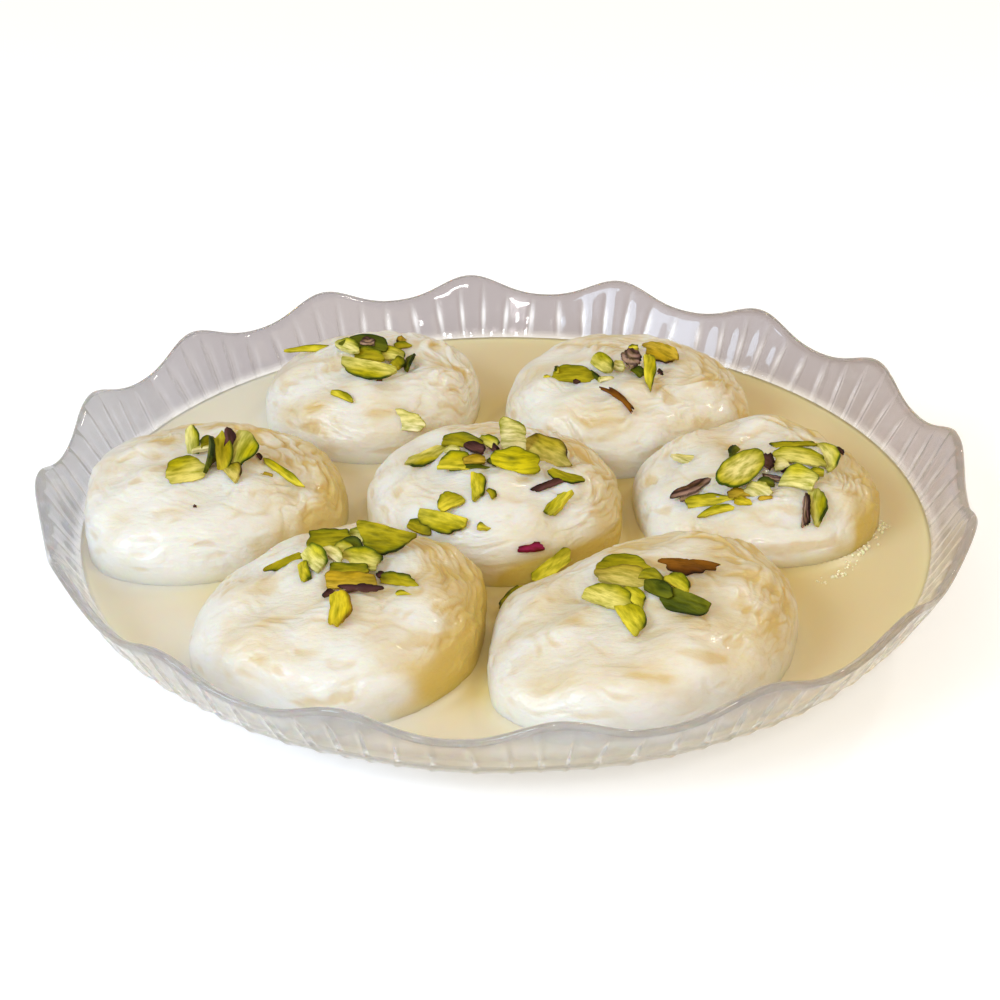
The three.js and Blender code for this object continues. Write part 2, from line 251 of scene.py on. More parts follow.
def grid_faces(rows, steps, first=0, falling=False):
    """Faces of a closed form whose vertices start at first: a pole, rows of steps that go
    round, and a pole. Fans join the poles to the rows, and quads the rows to each other.
    They face outwards where the rows rise, and are turned round for rows that fall."""
    here = first + 1 + np.arange((rows - 2) * steps).reshape(rows - 2, steps)
    there = np.roll(here, -1, axis=1)
    last = first + 1 + (rows - 2) * steps
    start = np.stack([np.full(steps, first), there[0], here[0]], axis=-1)
    quads = np.stack([here[:-1], there[:-1], there[1:], here[1:]], axis=-1).reshape(-1, 4)
    end = np.stack([np.full(steps, last), here[-1], there[-1]], axis=-1)
    faces = [start, quads, end]
    if falling:
        faces = [np.roll(part[:, ::-1], 1, axis=1) for part in faces]
    return sum((part.tolist() for part in faces), [])


def add_piece(name, vertices, faces, material):
    """A smooth piece from vertices in millimetres and faces, which rides on the whole."""
    mesh = bpy.data.meshes.new(name)
    mesh.from_pydata((vertices * MM).tolist(), [], faces)
    mesh.polygons.foreach_set("use_smooth", np.ones(len(mesh.polygons), bool))
    mesh.materials.append(material)
    piece = bpy.data.objects.new(name, mesh)
    scene.collection.objects.link(piece)
    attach(piece, "root")
    return piece


def poled(grid):
    """A grid's values, or places, in the order of its piece's vertices: the first and last
    rows become poles with their row's mean."""
    middle = grid[1:-1].reshape(-1, *grid.shape[2:])
    return np.concatenate([grid[:1].mean(axis=1), middle, grid[-1:].mean(axis=1)])


def piece_from_grid(name, points, material):
    """A piece from rising rows of points: points[row, step] with the steps going round."""
    return add_piece(name, poled(points), grid_faces(*points.shape[:2]), material)


def rounded(section, on_wall, on_floor):
    """A smooth line through a section's rows: a cubic for each span, whose slopes come from
    its neighbours and whose knots lie apart by the root of its length. Spans that share in
    the petals' wave get on_wall points, the others on_floor."""
    rows = np.array(section, float)
    chord = np.linalg.norm(np.diff(rows[:, :2], axis=0), axis=1)
    knot = np.concatenate([[0], np.cumsum(np.sqrt(chord))])
    slope = np.gradient(rows, knot, axis=0)
    out = []
    for start in range(len(rows) - 1):
        span = knot[start + 1] - knot[start]
        count = on_wall if rows[start:start + 2, 2].any() else on_floor
        t = np.arange(count)[:, None] / count
        out.append((2 * t**3 - 3 * t**2 + 1) * rows[start] + (t**3 - 2 * t**2 + t) * span * slope[start]
                   + (3 * t**2 - 2 * t**3) * rows[start + 1] + (t**3 - t**2) * span * slope[start + 1])
    return np.vstack(out + [rows[-1:]])


def petal_wave(angle):
    """A cosine round the rim, a little sharper at the petals' tips than in the notches."""
    turn = PETALS * angle
    return (np.cos(turn) + PETAL_POINT * np.cos(2 * turn)) / (1 + PETAL_POINT)


def smooth_step(low, high, value):
    """From 0 at low to 1 at high, level at both ends."""
    share = np.clip((value - low) / (high - low), 0, 1)
    return share * share * (3 - 2 * share)


def hump(middle, width, value):
    """A bell of height one: the exponential of minus the squared distance in widths."""
    return np.exp(-((value - middle) / width) ** 2)


def dish_points():
    """Rows follow the section from under the floor over the lip to the floor's top; steps go
    round, crowded at each rib. The petals' cosine and a bell for each rib push them out.
    Gives the points, their places across a rib, and their shares of rib, lip and rim."""
    outside = rounded(OUTSIDE, ROWS_ON_WALL, ROWS_ON_FLOOR)
    inside = rounded(INSIDE, ROWS_ON_WALL, ROWS_ON_FLOOR)
    radius, height, petal, rib = np.vstack([outside, inside]).T[:, :, None]
    steps = PETALS * RIBS * STEPS_PER_RIB
    turns = np.arange(steps) / STEPS_PER_RIB
    across = (turns + STEP_CROWDING * np.sin(2 * math.pi * turns) / (2 * math.pi)) / RIBS
    place = 2 * (across % 1) - 1
    fan = RIB_FAN * np.clip((RIM_HEIGHT - height) / (RIM_HEIGHT - FLOOR_TOP), 0, 1)
    place = place - fan * place * (1 - place**2)
    angle = (np.floor(across) + (place + 1) / 2) / PETALS * 2 * math.pi - math.pi / PETALS
    wave = petal_wave(angle)
    flank = ((across * RIBS) % 1 - 0.5) / RIB_WIDTH
    ribbed = np.clip(rib, 0, 1)
    inner = np.where(np.arange(len(radius))[:, None] < len(outside), 0, 1)
    ridge = RIB_HEIGHT * (1 - inner) * hump(0, 1, flank)
    ridge = ridge - INNER_RIB_HEIGHT * inner * np.cos(2 * math.pi * across * RIBS)
    lip = sum(hump(edge, LIP_WIDTH, radius) for edge in LIP_EDGES) * smooth_step(*LIP_BAND, height)
    rim = smooth_step(*RIM_BAND, height)
    radius = radius + PETAL_REACH * petal * wave + ridge * ribbed
    height = np.maximum(height, 0) + PETAL_RISE * petal * wave
    angle = angle + PETAL_TURN
    points = np.stack([radius * np.cos(angle), radius * np.sin(angle), height + 0 * angle], axis=-1)
    return points, flank + 0 * angle, ribbed + 0 * angle, lip + 0 * angle, rim + 0 * angle


def paint(piece, name, values):
    """Give a piece an attribute with one value, or one colour, for each vertex."""
    kind, key = ("FLOAT", "value") if np.ndim(values) == 1 else ("FLOAT_COLOR", "color")
    attribute = piece.data.attributes.new(name, kind, "POINT")
    attribute.data.foreach_set(key, np.ravel(values))


CLEAR_LILAC = (0.43, 0.43, 0.47, 1.0)

# Tints that lie over the lilac, each by the share that is painted under its name. All but
# the milk's film are painted light and shade: a pink shade to the right, a darker shade at
# the back, painted light low in front, a painted shade line on the ribs and the lip, and a
# painted highlight line on the ribs.
TINTS = {
    "painted_pink_shade": (0.46, 0.39, 0.40, 1.0), "back": (0.31, 0.272, 0.295, 1.0), "front": (0.77, 0.74, 0.71, 1.0),
    "painted_shade_line": (0.20, 0.15, 0.14, 1.0), "painted_highlight_line": (0.95, 0.95, 0.98, 1.0),
    "milk_film": (0.96, 0.90, 0.76, 1.0),
}
SOLIDITY = 0.78
FILM_CLEARING = 0.65

# How strong each painted tint and line is, and how the front and the highlight's dash change
# them. The lip's painted shade line has a share all round, one at the right and one in front.
BACK_SHARE, FRONT_SHARE, FILM_SHARE = 0.8, 0.8, 0.85
FRONT_SLANT = 0.25
RIB_DARK, RIB_DARK_LOST, RIB_LIGHT = 0.5, 0.4, 0.28
DASH_SPREAD = 0.3
LIP_DARK = (0.12, 0.5, 0.4)
LIP_DARKEST = 0.75
BAND_DARK = 0.5

# Where each tint or line begins and is full, in millimetres along x, y, z or aslant.
PINK_SHADE_BAND = (-80, 60)
BACK_BAND = (20, 70)
FRONT_BAND = (-20, -75)
FRONT_SIDES = (30, 65)
FRONT_HEIGHTS = (26, 20)
EDGING_BAND = (30, 70)
DASH_BAND = (20, 40)

# Middle and width of the lines: on a rib's flanks in widths of a rib, and in height.
DARK_FLANK = (0.9, 0.6)
LIGHT_FLANK = (-0.8, 0.6)
DASH_LEVEL = (19.0, 2.6)
FILM_LEVEL = (14.1, 0.7)


def tint_and_shade_dish(dish, points, flank, ribbed, lip, rim):
    """Paint the share of each tint: lilac turns pinkish to the right, darker at the back and
    whiter low in front, all as painted shade and light. Each rib has a painted shade line on
    one flank and a painted highlight line on the other, the highlight widest in a dash high up
    at the back right. The lip has a painted shade line, darkest at the right and in front, and
    the milk leaves a film at its level."""
    x, y, z = np.moveaxis(points, -1, 0)
    side = np.abs(x)
    front = smooth_step(*FRONT_BAND, y - FRONT_SLANT * side)
    front = front * (FRONT_SHARE + (1 - FRONT_SHARE) * smooth_step(*FRONT_SIDES, side))
    dark = RIB_DARK * (1 - RIB_DARK_LOST * front) * ribbed * hump(*DARK_FLANK, flank)
    least, rightwards, frontwards = LIP_DARK
    edging = least + rightwards * smooth_step(*EDGING_BAND, x) + frontwards * front
    edging = lip * np.clip(edging, 0, LIP_DARKEST)
    dash = hump(*DASH_LEVEL, z) * smooth_step(*DASH_BAND, x + 0.8 * y)
    middle, width = LIGHT_FLANK
    light = (RIB_LIGHT + (1 - RIB_LIGHT) * dash) * ribbed * hump(middle, width + DASH_SPREAD * dash, flank)
    shares = {
        "painted_pink_shade": smooth_step(*PINK_SHADE_BAND, x + 0.5 * y),
        "back": BACK_SHARE * smooth_step(*BACK_BAND, y),
        "front": front * smooth_step(*FRONT_HEIGHTS, z),
        "painted_shade_line": np.clip(dark + np.maximum(edging, BAND_DARK * rim * front), 0, 1),
        "painted_highlight_line": light,
        "milk_film": FILM_SHARE * hump(*FILM_LEVEL, z),
    }
    for name, share in shares.items():
        paint(dish, name, poled(share))


clear_plastic, wire = new_finish("clear_plastic")
# Lay the tints over the lilac: the milk's film, and painted shade, light and highlights.
tint = CLEAR_LILAC
for name, colour in TINTS.items():
    tint = wire.attribute(name).mixed(tint, colour)
wire.finish(Base_Color=tint, Roughness=0.05, IOR=1.46, Transmission_Weight=1.0,
            Alpha=SOLIDITY - FILM_CLEARING * wire.attribute("milk_film"))
points, flank, ribbed, lip, rim = dish_points()
dish = piece_from_grid("clear_dish", points, clear_plastic)
tint_and_shade_dish(dish, points, flank, ribbed, lip, rim)
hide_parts("dish")


# Discs
# Balls of fresh cheese, flattened by hand, simmered in syrup and soaked in the milk. They
# are soft, finely creased on top, and pressed flat where they meet each other.

GAP = 0.35
WALL_CLEARANCE = 0.6
DISC_BASE = FLOOR_TOP + GAP
TOP_FULLNESS = 2.5
BASE_FULLNESS = 3.2
PRESS_SHARPNESS = 14
PRESS_REACH = 4
PRESS_FACING = 0.05
OUT_OF_REACH = 1e3
LEAST_LENGTH = 0.01
MILK_TOP = 13.9

Disc = namedtuple("Disc", "middle radius top oval corner lean")

# Each disc: middle, radius and top, how oval and how cornered its outline is (share, degrees),
# and how much its top leans along x and y.
DISCS = {
    "disc_left": Disc((-62.1, -4.0), 28.3, 29.8, (0.040, 14), (0.016, -24), (0.007, -0.014)),
    "disc_back_left": Disc((-29.9, 44.8), 24.7, 29.8, (0.028, 64), (0.019, 41), (0.022, -0.018)),
    "disc_back_right": Disc((27.1, 38.5), 27.5, 30.5, (0.011, -73), (0.008, -15), (-0.015, 0.016)),
    "disc_middle": Disc((-1.7, -5.6), 26.6, 31.2, (0.019, -36), (0.023, 27.5), (0.021, -0.011)),
    "disc_right": Disc((50.8, 0.2), 26.0, 28.1, (0.006, -60), (0.030, -22), (0.023, 0.080)),
    "disc_front_left": Disc((-29.6, -50.6), 28.6, 30.6, (0.089, 51), (0.005, -70), (0.051, 0.027)),
    "disc_front_right": Disc((24.4, -54.5), 29.8, 29.4, (0.121, 41), (0.049, 57), (0.120, -0.010)),
}
CRUMPLE_WAVES = [(0.31, 0.12, 0.55, 1), (-0.14, 0.36, 0.55, 2), (0.5, -0.42, 0.33, 3)]
CRUMPLE_SHIFT = (0.7, 0.4)

DISC_STEPS = 430
ROWS_SUNK = 30
ROWS_SHOWN = 190
SUNK_LATITUDE = -0.3
LEAST_NORMAL = 1e-9


def soft_smallest(lengths, sharpness=PRESS_SHARPNESS):
    """The least of several lengths, rounded where two are alike by a sum of powers."""
    return sum(length ** -sharpness for length in lengths) ** (-1 / sharpness)


def line_reach(facing, distance):
    """How far off a straight line lies each way: its distance over the cosine of the angle
    to it, and out of reach where that is small."""
    return np.where(facing < PRESS_FACING, OUT_OF_REACH, distance / np.maximum(facing, PRESS_FACING))


def disc_edge(name, angle):
    """A disc's outline: its own drawn-out, three-cornered round, pressed flat along the line
    that it shares with each near neighbour."""
    disc = DISCS[name]
    own = disc.radius * (1 + disc.oval[0] * np.cos(2 * (angle - math.radians(disc.oval[1])))
                         + disc.corner[0] * np.cos(3 * (angle - math.radians(disc.corner[1]))))
    limits = [own]
    for other, near in DISCS.items():
        dx, dy = near.middle[0] - disc.middle[0], near.middle[1] - disc.middle[1]
        apart = math.hypot(dx, dy)
        if other == name or apart > disc.radius + near.radius + PRESS_REACH:
            continue
        shared = (apart**2 + disc.radius**2 - near.radius**2) / (2 * apart) - GAP
        limits.append(line_reach(np.cos(angle - math.atan2(dy, dx)), shared))
    return soft_smallest(limits)


def wall_radius(height):
    """The dish's inner radius at a height, along the straight lines of its section."""
    line = np.array(INSIDE)[::-1]
    return np.interp(height, line[:, 1], line[:, 0])


def disc_shape(name, angle, latitude):
    """A quarter of a full oval up and down from the middle, its reach cut off by the dish's
    wall, its upper half leaning and crumpled by crossed waves."""
    disc = DISCS[name]
    x, y = disc.middle
    fullness = np.where(latitude < 0, BASE_FULLNESS, TOP_FULLNESS)
    rise = np.sin(latitude * math.pi / 2)
    reach = (1 - np.abs(rise) ** fullness) ** (1 / fullness)
    middle = (disc.top + DISC_BASE) / 2
    height = middle + rise * (disc.top - middle)
    outward = x * np.cos(angle) + y * np.sin(angle)
    wall = wall_radius(np.minimum(height, MILK_TOP)) - WALL_CLEARANCE
    room = -outward + np.sqrt(np.maximum(outward**2 + wall**2 - x * x - y * y, LEAST_LENGTH))
    r = soft_smallest([np.maximum(disc_edge(name, angle) * reach, LEAST_LENGTH), room])
    dx, dy = r * np.cos(angle), r * np.sin(angle)
    upper = np.maximum(rise, 0)
    shift = x * CRUMPLE_SHIFT[0] + y * CRUMPLE_SHIFT[1]
    crumple = sum(h * np.sin(ax * dx + ay * dy + turn * shift) for ax, ay, h, turn in CRUMPLE_WAVES)
    height = height + upper * (dx * disc.lean[0] + dy * disc.lean[1]) + upper**2 * crumple
    return np.stack([x + dx, y + dy, height + 0 * dx], axis=-1)


def waves(points, count, shortest, longest, seed, stretch=(1, 1, 1)):
    """A smooth random field of unit spread: a sum of plane waves with random headings,
    lengths and phases, drawn out along the axes by stretch."""
    draw = np.random.default_rng(seed)
    heading = draw.normal(size=(count, 3))
    heading = heading / np.linalg.norm(heading, axis=1)[:, None]
    heading = heading * (2 * math.pi / draw.uniform(shortest, longest, count))[:, None] / stretch
    phase = draw.uniform(0, 2 * math.pi, count)
    return math.sqrt(2 / count) * np.cos(points @ heading.T + phase).sum(axis=-1)


def outward_normals(points):
    """Unit normals of a grid that goes round: its steps' direction crossed with its rows'."""
    along_rows = np.gradient(points, axis=0)
    along_steps = (np.roll(points, -1, axis=1) - np.roll(points, 1, axis=1)) / 2
    normal = np.cross(along_steps, along_rows)
    return normal / np.maximum(np.linalg.norm(normal, axis=-1, keepdims=True), LEAST_NORMAL)


# Fields of waves in the cheese: how many waves, their shortest and longest length, and what
# is added to the disc's seed.
FIELDS = {
    "drift": (24, 12, 28, 1), "jitter": (40, 4, 9, 2), "ripples": (70, 1.7, 3.8, 4),
    "patches": (24, 9, 20, 5), "folds": (30, 11, 24, 6), "fold_places": (24, 14, 26, 7),
    "lumps": (40, 5, 13, 8), "stains": (40, 3.5, 9, 9), "fibres": (70, 0.8, 1.7, 10),
    "crumbs": (80, 1.1, 2.2, 11), "creases": (60, 2.6, 5.2, 12),
}
FLOW_DRIFT, FLOW_JITTER, FLOW_LENGTH = 1.5, 0.5, 3
CREASE_WIDTH = 0.35
FOLD_WIDTH = 0.14
LEE_PATCH = 0.8
PATCH_BAND, FOLD_BAND, STAIN_BAND = (-1.3, 0.6), (0.5, 1.3), (0.5, 2.2)
CREASED_HEIGHTS = (15.0, 24.0)
CREASED_FROM = (-62, -25)
RIPPLE_DEPTH, FIBRE_DEPTH, CRUMB_DEPTH, CREASE_DEPTH = 0.16, 0.05, 0.03, 0.16
FOLD_DEPTH, STAIN_DEPTH = 0.16, 0.15
LUMP_HEIGHT, LUMP_HEIGHT_ABOVE = 0.06, 0.12
# How much tan the ripples, fibres, creases and folds get as painted shade, and the stains as their own
# colour.
RIPPLE_SHADE, FIBRE_SHADE, CREASE_SHADE, FOLD_SHADE, STAIN_TAN = 0.35, 0.2, 0.42, 0.28, 0.42


def creased(points, path, lee, seed):
    """How deep the surface lies below its plain form, and how tan it is painted. Fine
    ripples and thin creases run round the disc, close together along the path down from its
    top, in patches and most on its lee, the side away from the window; a few folds and broad
    soft lumps lie under them, and tan stains in shallow dents. The tan of the ripples,
    fibres, creases and folds is painted shade, deeper on the lee; the stains' tan is their own."""
    def field(name, where=points, stretch=(1, 1, 1)):
        count, shortest, longest, step = FIELDS[name]
        return waves(where, count, shortest, longest, seed + step, stretch)

    drift = field("drift")
    down = path + FLOW_DRIFT * drift + FLOW_JITTER * field("jitter")
    flow = np.stack([down, points[..., 0] / FLOW_LENGTH, points[..., 1] / FLOW_LENGTH], axis=-1)
    ripples = field("ripples", flow)
    fibres = field("fibres", flow)
    creases = hump(0, CREASE_WIDTH, field("creases", flow))
    folds = hump(0, FOLD_WIDTH, field("folds", points + drift[..., None], (1.6, 1, 1)))
    folds = folds * smooth_step(*FOLD_BAND, field("fold_places"))
    patches = np.maximum(smooth_step(*PATCH_BAND, field("patches")), LEE_PATCH * lee)
    upper = smooth_step(*CREASED_HEIGHTS, points[..., 2])
    rough = patches * (0.05 + 0.95 * upper) * (0.45 + 0.75 * lee)
    rough = rough * (0.65 + 0.35 * smooth_step(*CREASED_FROM, points[..., 1]))
    stain = smooth_step(*STAIN_BAND, field("stains", points, (2.4, 1, 0.6)) + 0.35 * ripples)
    depth = rough * (RIPPLE_DEPTH * ripples + FIBRE_DEPTH * fibres + CRUMB_DEPTH * field("crumbs")
                     + CREASE_DEPTH * creases)
    depth = depth + FOLD_DEPTH * folds * upper + STAIN_DEPTH * stain
    depth = depth - (LUMP_HEIGHT + LUMP_HEIGHT_ABOVE * upper) * field("lumps", points, (1.5, 1, 1))
    tan = rough * (RIPPLE_SHADE * smooth_step(0.1, 1.8, ripples) + FIBRE_SHADE * smooth_step(0, 2, fibres)
                   + CREASE_SHADE * creases)
    tan = np.clip(tan + FOLD_SHADE * folds * upper, 0, 1) * (0.45 + 0.85 * lee)
    return depth, tan + STAIN_TAN * stain


# How the milk's painted golden shade spreads: the band it rises over, its shares and cap, and how far
# crowding reaches.
GOLD_BAND = (-75, 60)
GOLD_SHARE, CROWDED_SHARE, GOLDEST = 0.66, 1.05, 0.93
CROWDED_WIDTH = 9


def gold_shade_share(points):
    """How much painted golden shade the milk gets at a place: more to the right and the back,
    away from the window, and most where two discs crowd it, falling off with their two distances."""
    x, y = points[..., 0], points[..., 1]
    gaps = [np.hypot(x - disc.middle[0], y - disc.middle[1]) - disc.radius for disc in DISCS.values()]
    gaps = np.sort(np.maximum(gaps, 0), axis=0)
    crowded = np.exp(-(gaps[0] + gaps[1]) / CROWDED_WIDTH)
    gold = GOLD_SHARE * smooth_step(*GOLD_BAND, x + 0.35 * y) + CROWDED_SHARE * crowded
    return np.clip(gold, 0, GOLDEST)


MILK_WHITE = (0.825, 0.81, 0.74, 1.0)
MILK_GOLD_SHADE = (0.75, 0.58, 0.22, 1.0)
CHEESE_WHITE = (0.79, 0.785, 0.755, 1.0)
CHEESE_SHADE_AND_STAIN = (0.65, 0.485, 0.20, 1.0)
CHEESE_GOLD_SHADE = (0.63, 0.46, 0.10, 1.0)
SHADE_AND_STAIN_TAN, MOTTLE_TAN = 0.9, 1.6
MOTTLE_SIZE = 8 * MM
PORE_SIZE, PORE_DEPTH = 0.9 * MM, 0.25 * MM

fresh_cheese, wire = new_finish("fresh_cheese")
# Tan over the white: painted shade in the creases and on the lee, and the cheese's own stains and mottles.
mottle = (wire.grain(MOTTLE_SIZE, 5.0, (1.5, 1.0, 1.0)) - 0.5) * wire.attribute("mottled")
tone = wire.attribute("crease_shade_and_stain") * SHADE_AND_STAIN_TAN + mottle * MOTTLE_TAN
tone = tone.mixed(CHEESE_WHITE, CHEESE_SHADE_AND_STAIN)
tone = wire.attribute("film").mixed(tone, MILK_WHITE)
# A painted golden shade over all: on the side away from the window, and low down where the discs crowd the
# milk.
tone = wire.attribute("painted_gold_shade").mixed(tone, CHEESE_GOLD_SHADE)
pores = wire.grain(PORE_SIZE, 4.0, (2.0, 1.0, 1.0))
wire.finish(Base_Color=tone, Roughness=0.42, Subsurface_Weight=0.6, Subsurface_Radius=(1.0, 0.58, 0.2),
            Subsurface_Scale=6 * MM, Coat_Weight=0.28, Coat_Roughness=0.15,
            Normal=wire.bump(pores, PORE_DEPTH))


# Painted shade on each disc: how golden it is on its side away from the window and up to
# which height, how golden near the milk and how far up, and how tan its top is all over, its
# own tone, and on its lee, a painted shade.
SHADE_AND_TONE = {
    "disc_left": (0.85, 25, 1.0, 1.0, 0.04, 0.30),
    "disc_back_left": (0.25, 22, 0.9, 1.0, 0.24, -0.36),
    "disc_back_right": (0.6, 22, 0.3, 0.5, 0.20, 0.12),
    "disc_middle": (0.6, 25, 2.4, 1.7, 0.03, 0.30),
    "disc_right": (1.3, 21.5, 1.0, 1.0, 0.11, 0.32),
    "disc_front_left": (1.0, 25, 1.1, 1.2, 0.17, 0.36),
    "disc_front_right": (0.5, 17, 0.7, 1.0, 0.26, 0.36),
}
UPPER_HEIGHTS = (16, 23)
FILM_START = MILK_TOP + 1.2
FILM_REACH = 3.3
FILM_ON_CHEESE = 0.9
WAVERING = (24, 5, 12)
WAVERING_SHARE = 0.045


def shade_and_stain_disc(disc, name, plain, normal, lee, tan, seed):
    """Paint a disc's shares of each tone. Its creases and lee carry a painted tan shade and its
    stains their own tan; its top is tan all over as its row of the table says, and more on its
    lee as painted shade. Milk films it low down, and a painted golden shade lies there, most
    where discs crowd it. It has a painted golden shade where it turns to the right, away from
    the window, along a wavering line and below a height."""
    aside, up_to, low_gold, low_down, all_over, on_lee = SHADE_AND_TONE[name]
    height = plain[..., 2]
    upper = smooth_step(*UPPER_HEIGHTS, height)
    near_milk = smooth_step(FILM_START + FILM_REACH * low_down**2, FILM_START, height)
    turned = normal[..., 0] + 0.2 * normal[..., 1] + WAVERING_SHARE * waves(plain, *WAVERING, seed)
    shade = aside * smooth_step(0.2, 0.6, turned) * (0.3 + 0.7 * smooth_step(up_to + 4, up_to - 3, height))
    facing = 0.35 + 0.65 * smooth_step(-0.6, 0.4, normal[..., 0] + 0.3 * normal[..., 1])
    below = low_gold * facing * gold_shade_share(plain) * near_milk
    paint(disc, "crease_shade_and_stain", poled(tan + upper * (all_over + on_lee * lee)))
    paint(disc, "mottled", poled(upper))
    paint(disc, "film", poled(FILM_ON_CHEESE * near_milk))
    paint(disc, "painted_gold_shade", poled(np.clip(np.maximum(shade, below), 0, 1)))


def make_disc(number, name):
    """Rows run from the base's middle to the top's, steps go round, and the creases go in
    along the surface's normals."""
    latitude = np.hstack([np.linspace(-1, SUNK_LATITUDE, ROWS_SUNK, endpoint=False),
                          np.linspace(SUNK_LATITUDE, 1, ROWS_SHOWN)])[:, None]
    angle = np.arange(DISC_STEPS)[None, :] / DISC_STEPS * 2 * math.pi
    plain = disc_shape(name, angle, latitude)
    step = np.linalg.norm(np.diff(plain, axis=0), axis=-1)
    path = np.vstack([np.cumsum(step[::-1], axis=0)[::-1], np.zeros((1, DISC_STEPS))])
    normal = outward_normals(plain)
    lee = smooth_step(-0.25, 0.35, 0.7 * normal[..., 0] + 0.7 * normal[..., 1])
    depth, tan = creased(plain, path, lee, 100 * (number + 1))
    points = plain - normal * depth[..., None]
    disc = piece_from_grid("cheese_" + name, points, fresh_cheese)
    shade_and_stain_disc(disc, name, plain, normal, lee, tan, 100 * number + 12)
    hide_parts(name)
    return points


disc_grids = {name: make_disc(number, name) for number, name in enumerate(DISCS)}


# Milk
# Sweet milk boiled down until it is thick and creamy. It lies level between the discs,
# climbs a little up their sides and the wall, and gathers a fine film there.

MILK_RINGS = 105
MILK_STEPS = 480
WALL_CLIMB = 0.5
DISC_CLIMB = 1.5
CLIMB_WIDTH = 1.5
INTO_WALL = 0.4
ROWS_UNDER = 6


def milk_points():
    """Rows run from the middle under the milk, out along the dish's wall and back over its
    top, which climbs at the wall and the discs by an exponential of the distance."""
    section = rounded([row for row in INSIDE if row[1] < MILK_TOP][::-1], ROWS_UNDER, ROWS_ON_FLOOR)
    under = section[:, :2] + [INTO_WALL, -INTO_WALL / 2]
    angle = np.arange(MILK_STEPS) / MILK_STEPS * 2 * math.pi
    edge = wall_radius(MILK_TOP + WALL_CLIMB) + INTO_WALL
    radius = edge * np.linspace(1, 0, MILK_RINGS)[:, None]
    x, y = radius * np.cos(angle), radius * np.sin(angle)
    rise = WALL_CLIMB * np.exp(-(edge - INTO_WALL - radius) / CLIMB_WIDTH) + 0 * x
    for name, disc in DISCS.items():
        dx, dy = x - disc.middle[0], y - disc.middle[1]
        gap = np.hypot(dx, dy) - disc_edge(name, np.arctan2(dy, dx))
        rise = rise + DISC_CLIMB * np.exp(-np.maximum(gap, 0) / CLIMB_WIDTH)
    top = np.stack([x, y, MILK_TOP + np.minimum(rise, DISC_CLIMB)], axis=-1)
    low = np.stack([under[:, :1] * np.cos(angle), under[:, :1] * np.sin(angle),
                    under[:, 1:] + 0 * angle[None]], axis=-1)
    return np.vstack([low, top])


MILK_PALE = (0.85, 0.83, 0.76, 1.0)
CLOUD_SIZE = 30 * MM

thick_milk, wire = new_finish("thick_milk")
tone = wire.grain(CLOUD_SIZE).mixed(MILK_PALE, MILK_WHITE)
# A painted golden shade: to the right and the back, away from the window, and deepest between crowded discs.
tone = wire.attribute("gold").mixed(tone, MILK_GOLD_SHADE)
wire.finish(Base_Color=tone, Roughness=0.3, Subsurface_Weight=0.4, Subsurface_Radius=(1.0, 0.6, 0.2),
            Subsurface_Scale=7 * MM)
points = milk_points()
milk = piece_from_grid("thick_milk", points, thick_milk)
paint(milk, "gold", poled(gold_shade_share(points)))
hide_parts("milk")


# Pistachio
# Kernels cut lengthwise into thin slivers and strewn over each disc: pale yellow hearts,
# greener flesh, a dark green rind at the edge and scraps of purple brown skin.

THICKNESS = 0.75
SLIVER_SUNK = 0.5
SLIVER_SEED = 700
SLIVER_STEPS = 44
CUT_SHARPNESS = 40
KNIFE_SWING = 7
KNIFE_SLIP = (0.92, 1.05)
JAGS = ((2, 0.03), (3, 0.04), (5, 0.03), (9, 0.02), (14, 0.015))
TORN_KINDS = ("skin", "husk", "brown", "petal")
TORN_JAGS = 2.2
CURVE_SPREAD = 0.06
SICKLE_CURVE = 0.5
THICKNESS_SPREAD = (0.7, 1.15)
BOW_SPREAD = (-0.06, 0.03)
WAVINESS = 0.07
WRING = 0.35
FRESH_KINDS = ("slice", "marked", "pale", "bright", "olive")
GREEN_FLESH = (0.26, 0.29, 0.004)
GREEN_BAND = 0.8
RIND_BAND = 0.4
TIREDNESS = 0.35
MARK = 0.75
MARK_ALONG, MARK_ACROSS = (-0.15, 0.22), (0.1, 0.2)
GRAIN_STRETCH = 4

# Rings from the middle of one face to the middle of the other: share of the outline, and
# share of half the thickness.
SLIVER_RINGS = np.array([
    (0.0, 1.0), (0.25, 1.0), (0.45, 1.0), (0.62, 1.0), (0.76, 1.0), (0.86, 1.0), (0.93, 1.0), (0.97, 1.0),
    (0.992, 0.96), (1.0, 0.75), (1.0, -0.75), (0.985, -0.97), (0.7, -1.0), (0.0, -1.0),
])

